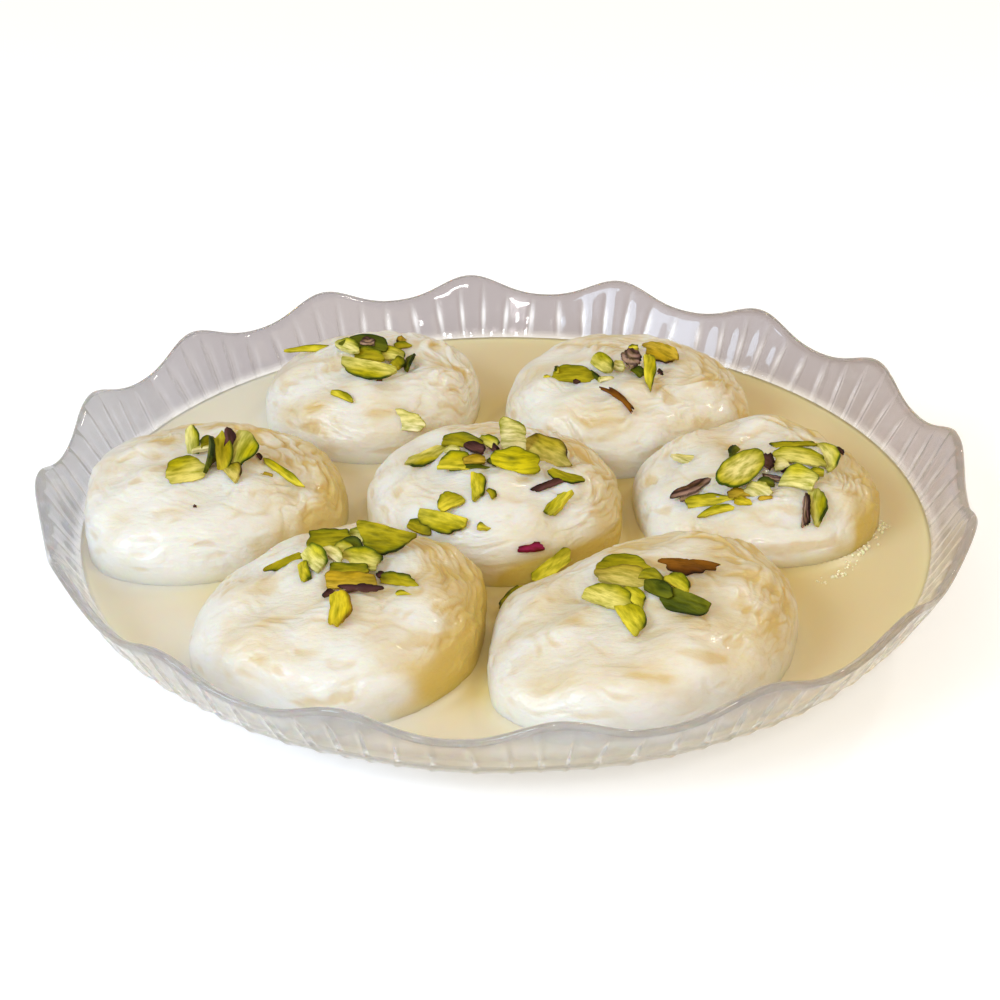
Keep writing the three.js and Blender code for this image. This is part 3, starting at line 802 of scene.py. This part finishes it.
# Colours of each kind: heart, flesh, and rind or skin.
KINDS = {
    "slice": ((0.82, 0.72, 0.20), (0.54, 0.46, 0.003), (0.05, 0.08, 0.004)),
    "marked": ((0.68, 0.57, 0.01), (0.56, 0.47, 0.001), (0.04, 0.06, 0.004)),
    "pale": ((0.92, 0.84, 0.34), (0.70, 0.62, 0.03), (0.07, 0.12, 0.004)),
    "bright": ((0.78, 0.66, 0.05), (0.55, 0.46, 0.001), (0.06, 0.08, 0.002)),
    "olive": ((0.46, 0.38, 0.012), (0.31, 0.26, 0.001), (0.035, 0.045, 0.002)),
    "green": ((0.15, 0.16, 0.006), (0.075, 0.095, 0.004), (0.022, 0.034, 0.004)),
    "tan": ((0.68, 0.55, 0.14), (0.50, 0.38, 0.02), (0.06, 0.03, 0.012)),
    "amber": ((0.62, 0.42, 0.04), (0.54, 0.34, 0.01), (0.08, 0.04, 0.01)),
    "gold": ((0.78, 0.62, 0.03), (0.70, 0.53, 0.01), (0.28, 0.16, 0.008)),
    "cream": ((0.92, 0.83, 0.48), (0.84, 0.74, 0.26), (0.34, 0.32, 0.004)),
    "skin": ((0.13, 0.05, 0.05), (0.05, 0.017, 0.018), (0.018, 0.007, 0.008)),
    "husk": ((0.52, 0.33, 0.26), (0.20, 0.09, 0.075), (0.02, 0.007, 0.008)),
    "brown": ((0.24, 0.085, 0.004), (0.12, 0.036, 0.002), (0.03, 0.009, 0.003)),
    "petal": ((0.30, 0.015, 0.07), (0.13, 0.003, 0.022), (0.06, 0.002, 0.008)),
}

# How each form is cut: heading in degrees and distance of the knife's straight lines across
# an oval of size one.
FORMS = {
    "leaf": ((-90, 0.5), (26, 0.84), (-26, 0.8), (154, 0.86), (-154, 0.8)),
    "tip": ((-90, 0.6), (30, 0.72), (-30, 0.72), (180, 0.72)),
    "shard": ((-95, 0.5), (8, 0.74), (172, 0.72), (52, 0.86), (128, 0.9)),
    "strip": ((-90, 0.55), (90, 0.62), (14, 0.86), (190, 0.88)),
    "block": ((-90, 0.62), (-11, 0.54), (191, 0.56), (75, 0.88)),
    "half": ((-90, 0.25), (35, 0.93)),
    "whole": ((200, 0.93),),
}
FORMS["sickle"] = FORMS["leaf"]

# Each sliver: place on its disc, heading, length, width, roll about its length, pitch that
# dips its leading end, kind, form, and how far those beneath it prop it up.
SLIVERS = {}
SLIVERS["disc_left"] = [
    (-1.5, -8.8, 22, 8.8, 5.6, 45, 0, "slice", "leaf", 0),
    (2.8, -4.6, -87, 8.6, 7.4, 80, 0, "green", "half", 0),
    (5.6, -4, -85, 9.6, 3.6, 0, 45, "bright", "leaf", 2.2),
    (9, -3.6, -124, 9.4, 6.6, 0, 40, "slice", "half", 2.2),
    (-1.8, 3.4, -90, 6.5, 2.9, 0, -105, "pale", "tip", 2.8),
    (17.6, -5.3, -36, 11.5, 1.8, 25, 14, "bright", "leaf", 0),
    (0.4, 1.9, 16, 4.8, 1.3, 20, 0, "cream", "strip", 1.4),
    (6.5, -1.8, -80, 4.8, 2.6, 0, 50, "skin", "shard", 4.2),
    (13.8, -5.8, -14, 3.4, 1, 0, 0, "amber", "strip", 0),
    (1.6, 3.6, 40, 5, 3, 60, 0, "olive", "shard", 1),
    (12.3, -1.6, -60, 2, 1, 30, 0, "skin", "shard", 0.3),
    (1.1, -17.1, 0, 0.7, 0.5, 0, 0, "skin", "shard", 0.2),
    (7.6, -7.4, -62, 6.6, 3.6, 25, 0, "tan", "half", 0.2),
]
SLIVERS["disc_back_left"] = [
    (-0.7, -11, 153, 14, 4.8, -30, 0, "slice", "half", 0),
    (-1.8, 1.3, -10, 11.5, 4, 30, 0, "green", "leaf", 0.4),
    (4, -1.3, -14, 7, 4, 25, 0, "slice", "shard", 0.8),
    (8.5, -4.3, -96, 7, 3.6, 50, 0, "green", "half", 0),
    (7.8, -21.5, -22, 10.4, 4.8, 55, 0, "cream", "leaf", -1.4),
    (-5.4, -17.8, -32, 6, 1.8, 30, 8, "bright", "half", 0),
    (-14.6, 5.8, 0, 12, 1.8, 30, -2, "bright", "leaf", 1.2),
    (-5, 0.1, -47, 8, 3.6, 20, 0, "pale", "leaf", 0.3),
    (6.2, 6.9, 80, 3, 2.2, 30, 0, "amber", "shard", 0.4),
    (2.2, -12.8, 10, 1.4, 0.9, 10, 0, "brown", "shard", 0),
    (-0.4, -2.6, -20, 8, 3.4, 24, 0, "olive", "leaf", 0.9),
    (-1, 0.6, 0, 3.4, 2.4, 40, 0, "husk", "shard", 1.6),
    (6, -5.6, -70, 5, 3.6, 35, 0, "olive", "shard", 0),
    (6.6, 4.6, 20, 4, 2, 30, 0, "olive", "shard", 0.3),
]
SLIVERS["disc_back_right"] = [
    (-12, -4.2, -6, 10, 4.6, 30, 0, "olive", "leaf", 0),
    (-5.7, -3.4, -62, 8, 3.8, 40, 0, "slice", "leaf", 0.6),
    (0.6, -0.6, -58, 6.6, 4.4, 35, 0, "husk", "shard", 0.8),
    (4.4, -8.1, -90, 10.5, 2.8, 0, 24, "bright", "tip", 1.9),
    (7, 4.4, 132, 11, 4.8, -30, 0, "amber", "leaf", 0.2),
    (-2.9, -15.4, -46, 10.5, 1.7, 30, 12, "brown", "sickle", 0),
    (-15.8, -3.2, 85, 2.8, 1.4, 70, 0, "bright", "tip", 1),
    (-18, -4.1, 0, 1.6, 1, 0, 0, "bright", "shard", 0),
    (2.1, -4.4, -60, 4.6, 2.4, 40, 0, "green", "shard", 0.3),
    (1.4, 4.6, 10, 2.4, 1.6, 20, 0, "bright", "shard", 0.5),
    (-2.2, -3.6, -40, 3.6, 2.6, 30, 0, "cream", "shard", 0.6),
    (-5.1, -6.8, 20, 3.8, 1.2, 40, 0, "cream", "strip", 0),
    (-11.5, -6, 10, 1.7, 1, 20, 0, "skin", "shard", 0.5),
    (-7.4, -5.2, -60, 5, 1.2, 60, 0, "green", "strip", 0),
    (7, -3.6, -80, 3, 1.2, 40, 0, "skin", "strip", 0),
]
SLIVERS["disc_middle"] = [
    (-14.2, -1, -138, 10.6, 3, -35, 0, "slice", "leaf", 0),
    (-7, 2.3, -16, 8.6, 3.4, 45, 0, "olive", "shard", 0.6),
    (-7.9, -4.4, 6, 8.6, 4.8, 30, 0, "bright", "half", 0.4),
    (3.7, -7, -6, 10.2, 6.9, 30, 0, "marked", "shard", 0.3),
    (10.3, -0.2, -48, 14, 6.2, 35, 0, "tan", "leaf", 0.2),
    (13.6, -9, 168, 7.8, 2.4, -25, -10, "olive", "leaf", 0),
    (-3.6, -13, -86, 8.5, 3.2, 20, 12, "bright", "shard", 0),
    (11.7, -15.2, 55, 7.2, 4.2, -15, -16, "bright", "shard", 0),
    (-9.4, -16, 34, 5.6, 4, 25, 0, "bright", "half", 0.6),
    (-10.9, -19.6, 152, 10.6, 4.4, -45, 0, "bright", "half", 0),
    (10.1, -22.8, 33, 9.8, 5.4, 45, -27, "bright", "leaf", -0.9),
    (3.1, 1.2, 0, 5.6, 7.6, 82, 0, "cream", "block", 1),
    (-4.5, -0.7, -32, 4.8, 2.4, 24, 0, "skin", "shard", 0.9),
    (-1.6, 1.5, -40, 5, 3, 30, 0, "slice", "shard", 0.6),
    (-5.2, -5.5, 2, 8.8, 1, 30, 0, "green", "strip", 0),
    (-4.6, -4.6, 10, 4.6, 2.2, 20, 0, "amber", "shard", 0.8),
    (9.8, -11.5, 31, 7.2, 1.5, 40, -6, "skin", "strip", 0.2),
    (-15, -17.7, -20, 5.2, 3.6, 30, 0, "olive", "shard", 0),
    (-2.6, -21.6, 20, 2.8, 2, 10, 20, "bright", "shard", 0),
    (-1, -15.6, -60, 3.2, 1.6, 20, 8, "olive", "shard", 0),
    (6.4, -24, 12, 5.4, 2.4, 20, 0, "petal", "shard", 0),
    (-9, -0.8, -20, 3.4, 2.2, 30, 0, "cream", "shard", 0.8),
    (-1, -4, -40, 2.4, 1.4, 30, 0, "green", "shard", 0.4),
    (-0.6, -0.4, -60, 3, 1.5, 40, 0, "skin", "strip", 0.8),
    (2.6, -32, 62, 9.4, 1.8, 30, 0, "olive", "leaf", -1.6),
]
SLIVERS["disc_right"] = [
    (-3.6, -9.2, 52, 16.5, 6.6, 30, 0, "pale", "whole", 0.3),
    (9, -2.8, -20, 12, 4.6, 20, 0, "slice", "leaf", 0),
    (15.2, -0.4, -76, 10, 4.8, 15, 4, "pale", "half", 0),
    (8.2, -10.2, -16, 7.8, 6.2, 25, 0, "pale", "shard", 0),
    (-0.2, -13.6, -30, 5.6, 4.2, 30, 4, "cream", "shard", 0.3),
    (-13.2, -10.8, 30, 10.4, 3, 40, -12, "husk", "leaf", 0.2),
    (-10, -13.8, -4, 10, 4, 10, -6, "bright", "half", 0),
    (11.3, -17, -94, 9.2, 4.2, 30, 24, "slice", "half", 0),
    (-4.4, -1.3, 60, 3.6, 2, 50, 0, "green", "shard", 0.4),
    (2.4, -4.8, -60, 4.8, 3.2, 45, 0, "skin", "shard", 0.9),
    (8.4, 1.5, 4, 10, 1.5, 30, 0, "olive", "strip", 0.3),
    (5.1, -5.3, 20, 3.8, 3, 40, 0, "cream", "shard", 0.8),
    (3.2, -8.2, -30, 5, 1.4, 40, 0, "husk", "strip", 0.4),
    (-4.3, -13.8, 10, 4.6, 2.6, 20, 0, "amber", "shard", 0.2),
    (-7.4, -17.5, 6, 11.2, 2, 20, -4, "bright", "sickle", 0),
    (-12.4, -0.4, -26, 9.5, 3.2, 4, 0, "cream", "leaf", -0.3),
    (8.8, -18, -98, 8.2, 2, 50, 24, "husk", "strip", 0.4),
    (1.6, -9.8, -20, 3.8, 2, 40, 0, "green", "shard", 0.3),
    (18.2, 3, -50, 2.6, 0.9, 30, 0, "skin", "strip", 0.5),
    (12, -6.6, -10, 3.4, 2.2, 20, 0, "bright", "shard", 0),
    (6.6, -5.6, 45, 4.2, 0.8, 40, 0, "skin", "strip", 0.6),
    (0.8, -16, 10, 3, 1, 30, 0, "amber", "strip", 0),
    (-3.6, -16.4, -10, 3.6, 2.2, 15, 0, "gold", "shard", 0.1),
]
SLIVERS["disc_front_left"] = [
    (-11.1, 3.4, -152, 8.6, 2, -40, 8, "olive", "leaf", 0),
    (-3.4, 11.6, 6, 9, 4.4, 40, 0, "olive", "strip", 0),
    (7, 7.2, 162, 11.8, 6.2, -35, 0, "olive", "shard", 0.2),
    (3.2, 3, -30, 9, 4.8, 25, 0, "slice", "shard", 0.3),
    (-5, 2.2, -60, 8, 4.4, 30, 0, "pale", "shard", 0),
    (1.6, -4.8, -2, 9.6, 3.6, 40, 0, "amber", "strip", 0.4),
    (10.4, -3, -10, 7.4, 2.6, 40, 6, "olive", "leaf", 0),
    (0.4, -13.6, -88, 8.6, 4.4, 20, 14, "gold", "tip", 0),
    (-7.2, -0.4, -80, 6.4, 2.2, 20, 0, "bright", "strip", 0.2),
    (-2, 3.7, -43, 6, 2.8, 20, 0, "cream", "shard", 0.9),
    (0.8, 8, -37, 6.2, 3, 40, 0, "green", "shard", 0.4),
    (1, -0.6, -6, 7.4, 3, 30, 0, "olive", "strip", 0.5),
    (3.6, -7.8, 2, 8.4, 1.7, 60, 0, "skin", "strip", 0.3),
    (-2.2, -8, 50, 2.4, 1.4, 30, 0, "skin", "shard", 0.2),
    (7, -1.2, 10, 2.2, 1.6, 30, 0, "skin", "shard", 0.6),
    (11.4, -6.2, 10, 4, 1.6, 0, 8, "bright", "leaf", 0),
    (2, 13.6, -20, 4.4, 3, 40, 0, "pale", "shard", 0.4),
    (-0.4, 5.6, 10, 4, 2.4, 50, 0, "slice", "half", 0.9),
]
SLIVERS["disc_front_right"] = [
    (-2.6, 7.6, -4, 10.6, 5, 25, 0, "olive", "half", 0),
    (-2.4, 1.8, -20, 12.5, 5.2, 25, 0, "tan", "leaf", 0.2),
    (-5.6, -3.8, -34, 10, 5, 25, 0, "slice", "half", 0.4),
    (5.8, -6.8, 148, 12.5, 4.6, -40, 0, "green", "half", 0),
    (-2, -10.2, -64, 8, 4.4, 25, 6, "bright", "shard", 0),
    (8.8, 3.6, 166, 11.4, 3.6, -40, 0, "brown", "half", 0.2),
    (6.6, -1.6, -50, 6, 3, 30, 0, "bright", "shard", 0.5),
    (-1.2, -5.2, -56, 7, 3, 25, 0, "bright", "shard", 0.3),
    (3, -4.2, -42, 6.6, 3.2, 30, 0, "green", "leaf", 0.2),
    (2, 0.4, -30, 4.6, 2.6, 45, 0, "olive", "shard", 0.7),
]


def turn(points, axis, degrees):
    """Points turned about one axis by the right-hand rule."""
    first, second = [(1, 2), (2, 0), (0, 1)][axis]
    cos, sin = math.cos(math.radians(degrees)), math.sin(math.radians(degrees))
    out = points.copy()
    out[..., first] = cos * points[..., first] - sin * points[..., second]
    out[..., second] = sin * points[..., first] + cos * points[..., second]
    return out


def slice_edge(draw, kind, form):
    """The outline of a slice, from -1 to 1 both ways: the least of an oval and the knife's
    straight cuts, made uneven by cosines, most where it is torn, and stretched to its box."""
    angle = np.arange(SLIVER_STEPS) / SLIVER_STEPS * 2 * math.pi
    limits = [1 + 0 * angle]
    for heading, distance in FORMS[form]:
        facing = np.cos(angle - math.radians(heading + draw.normal(0, KNIFE_SWING)))
        limits.append(line_reach(facing, distance * draw.uniform(*KNIFE_SLIP)))
    jag = sum(draw.normal(0, size) * np.cos(turns * angle + draw.uniform(0, 2 * math.pi))
              for turns, size in JAGS)
    reach = soft_smallest(limits, CUT_SHARPNESS) * (1 + jag * (TORN_JAGS if kind in TORN_KINDS else 1))
    edge = np.stack([reach * np.cos(angle), reach * np.sin(angle)])
    low, high = edge.min(axis=1, keepdims=True), edge.max(axis=1, keepdims=True)
    return (2 * edge - low - high) / (high - low)


def slice_points(draw, edge, length, width, form):
    """Rings of points over a slice: its outline times each ring's share, curved aside and
    bowed up by parabolas, rippled by a cosine, and wrung about its length."""
    share, level = SLIVER_RINGS.T[:, :, None]
    along, across = share * edge[0], share * edge[1]
    curve = draw.normal(0, CURVE_SPREAD) - (SICKLE_CURVE if form == "sickle" else 0)
    over = (across / 2 + curve * (along**2 - 0.4)) * width
    thick = THICKNESS * draw.uniform(*THICKNESS_SPREAD)
    z = level * thick / 2 + draw.uniform(*BOW_SPREAD) * length * along**2
    z = z + WAVINESS * np.cos(5 * along + 2 * across + draw.uniform(0, 2 * math.pi))
    wring = draw.uniform(-WRING, WRING) * along
    over, z = over * np.cos(wring) - z * np.sin(wring), over * np.sin(wring) + z * np.cos(wring)
    return np.stack([along * length / 2, over, z], axis=-1)


def slice_colours(draw, edge, length, width, kind, form):
    """Colours over a slice: pale along the cut side and greener towards the uncut one, with
    a thin dark rind at that edge. One end is darker, and so is a marked slice's middle.
    Fresh kinds are green under the rind, and husks are furrowed."""
    share = SLIVER_RINGS[:, :1]
    along, across = share * edge[0], share * edge[1]
    heart, flesh, rind = (np.array(colour) for colour in KINDS[kind])
    inwards = (1 - share) * np.hypot(edge[0] * length, edge[1] * width) / 2
    uncut = np.ones_like(edge[1]) if form == "whole" else smooth_step(-0.15, 0.4, edge[1])
    pale = smooth_step(0.8, -0.7, across + 0.3 * np.cos(3 * along + draw.uniform(0, 2 * math.pi)))
    if form == "whole":
        pale = smooth_step(0.95, 0.3, share + 0 * along)
    tired = TIREDNESS * smooth_step(0.3, 1.0, along * draw.choice([-1, 1]))
    mark = MARK * hump(*MARK_ALONG, along) * hump(*MARK_ACROSS, across) * (kind == "marked")
    band = draw.uniform(0.4, 1.0) * uncut * hump(0, RIND_BAND * draw.uniform(0.5, 1.5), inwards)
    wall = smooth_step(0.97, 0.995, share) * (0.15 + 0.85 * uncut)
    colour = flesh + (heart - flesh) * pale[..., None]
    if kind in FRESH_KINDS:
        under_rind = draw.uniform(0.3, 0.9) * uncut * hump(0, GREEN_BAND, inwards)
        colour = colour + (np.array(GREEN_FLESH) - colour) * under_rind[..., None]
    covers = [tired, mark, band, wall]
    if kind == "husk":
        furrows = np.cos(8 * across + 2 * np.cos(3 * along) + draw.uniform(0, 2 * math.pi))
        covers.append(0.8 * smooth_step(-0.2, 0.6, furrows))
    for cover in covers:
        colour = colour + (rind - colour) * cover[..., None]
    return colour


def sliver(draw, length, width, kind, form):
    """A slice's points and colours, and its points' places in the kernel, shortened along
    it, for streaks that run its way."""
    edge = slice_edge(draw, kind, form)
    points = slice_points(draw, edge, length, width, form)
    colours = slice_colours(draw, edge, length, width, kind, form)
    along, across = SLIVER_RINGS[:, :1] * edge[0], SLIVER_RINGS[:, :1] * edge[1]
    kernel = [along * length / 2 / GRAIN_STRETCH, across * width / 2, draw.uniform(0, 90) + points[..., 2]]
    return points, colours, np.stack(kernel, axis=-1)


def height_at(grid, x, y):
    """Height of a disc's upper surface at a place: that of its nearest point."""
    upper = grid[grid.shape[0] // 3:]
    nearest = np.argmin((upper[..., 0] - x) ** 2 + (upper[..., 1] - y) ** 2)
    return upper[..., 2].ravel()[nearest]


GREEN_STREAK = (0.42, 0.46, 0.12, 1.0)
STREAKS_PER_MM = 1.2
STREAK_DEPTH = 0.5 * MM

pistachio, wire = new_finish("pistachio")
own = wire.attribute("nut", "Color")
kernel = wire.attribute("kernel", "Vector")
streaks = wire.node("ShaderNodeTexNoise", {}, {"Vector": kernel, "Scale": STREAKS_PER_MM, "Detail": 4.0})
darker = wire.node("ShaderNodeMix", {"data_type": "RGBA", "blend_type": "MULTIPLY"},
                   {0: 1.0, 6: own, 7: GREEN_STREAK}, 2)
tone = (streaks * 3.2 - 1.25).mixed(own, darker)
wire.finish(Base_Color=tone, Roughness=0.5, Specular_IOR_Level=0.08, Coat_Weight=0.02, Coat_Roughness=0.15,
            Normal=wire.bump(streaks, STREAK_DEPTH))


def strew(number, name):
    """Cut the slivers of one disc and lay them down, each turned about its length, pitched,
    headed, and set with its low edge a little into the cheese."""
    draw = np.random.default_rng(SLIVER_SEED + number)
    middle = DISCS[name].middle
    rings = len(SLIVER_RINGS)
    vertices, faces, colours, kernels = [], [], [], []
    for dx, dy, heading, length, width, roll, pitch, kind, form, prop in SLIVERS[name]:
        points, colour, kernel = sliver(draw, length, width, kind, form)
        points = turn(turn(turn(points, 0, roll), 1, pitch), 2, heading)
        half = (math.sin(math.radians(abs(roll))) * width + math.cos(math.radians(roll)) * THICKNESS) / 2
        x, y = middle[0] + dx, middle[1] + dy
        points = points + [x, y, height_at(disc_grids[name], x, y) + half - SLIVER_SUNK + prop]
        faces += grid_faces(rings, SLIVER_STEPS, sum(len(part) for part in vertices), True)
        for grid, kept in ((points, vertices), (colour, colours), (kernel, kernels)):
            kept.append(np.vstack([grid[0, :1], grid[1:-1].reshape(-1, 3), grid[-1, :1]]))
    piece = add_piece("pistachio_on_" + name, np.vstack(vertices), faces, pistachio)
    for key, kept in (("nut", colours), ("kernel", kernels)):
        values = np.vstack(kept)
        paint(piece, key, np.hstack([values, np.ones((len(values), 1))]))
    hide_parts(name)


for number, name in enumerate(SLIVERS):
    strew(number, name)


# Bubbles
# Small bubbles that the milk carries. They gather in the corner where it meets the right
# hand disc, and stand half out of it as pale, shining domes.

BUBBLES = 90
BUBBLE_SEED = 77
BUBBLE_RINGS, BUBBLE_STEPS = 7, 10
BUBBLE_SIZES = (0.35, 1.0)
BUBBLE_LIFT = 0.05
BUBBLE_ARC = (-70, -12)
BUBBLE_MIDDLE = -32
ASTRAY_BAND = (8, 35)
BUBBLE_REACH = (27.0, 30.0)
REACH_SPREAD = 0.5
FROTH_CREAM = (0.98, 0.87, 0.60, 1.0)

froth, wire = new_finish("froth")
wire.finish(Base_Color=FROTH_CREAM, Roughness=0.2, Coat_Weight=1.0, Subsurface_Weight=0.3,
            Subsurface_Scale=1 * MM)


def bubble_rings():
    """Round balls in rows from pole to pole, strung unevenly along a line that touches the
    disc's side and strays from it at both ends."""
    draw = np.random.default_rng(BUBBLE_SEED)
    start, end = BUBBLE_ARC
    smallest, largest = BUBBLE_SIZES
    nearest, farthest = BUBBLE_REACH
    bearing = np.radians(start + (end - start) * np.sort(draw.beta(1.0, 0.8, BUBBLES)))
    size = draw.uniform(0, 1, BUBBLES) ** 2 * (largest - smallest) + smallest
    astray = smooth_step(*ASTRAY_BAND, np.abs(np.degrees(bearing) - BUBBLE_MIDDLE))
    reach = nearest + (farthest - nearest) * astray + draw.normal(0, REACH_SPREAD, BUBBLES)
    gap = np.maximum(reach - disc_edge("disc_right", bearing), 0)
    x, y = DISCS["disc_right"].middle
    place = np.stack([x + reach * np.cos(bearing), y + reach * np.sin(bearing),
                      MILK_TOP + DISC_CLIMB * np.exp(-gap / CLIMB_WIDTH) + BUBBLE_LIFT * size], axis=-1)
    down = np.linspace(0, math.pi, BUBBLE_RINGS)[:, None]
    angle = np.arange(BUBBLE_STEPS) / BUBBLE_STEPS * 2 * math.pi
    ball = np.stack([np.sin(down) * np.cos(angle), np.sin(down) * np.sin(angle),
                     np.cos(down) + 0 * angle], axis=-1)
    return place[:, None, None] + size[:, None, None, None] / 2 * ball


rings = bubble_rings()
vertices = np.concatenate([rings[:, 0, :1], rings[:, 1:-1].reshape(BUBBLES, -1, 3), rings[:, -1, :1]], axis=1)
faces = [face for number in range(BUBBLES)
         for face in grid_faces(BUBBLE_RINGS, BUBBLE_STEPS, number * vertices.shape[1], True)]
bubbles = add_piece("milk_bubbles", vertices.reshape(-1, 3), faces, froth)
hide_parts("milk")
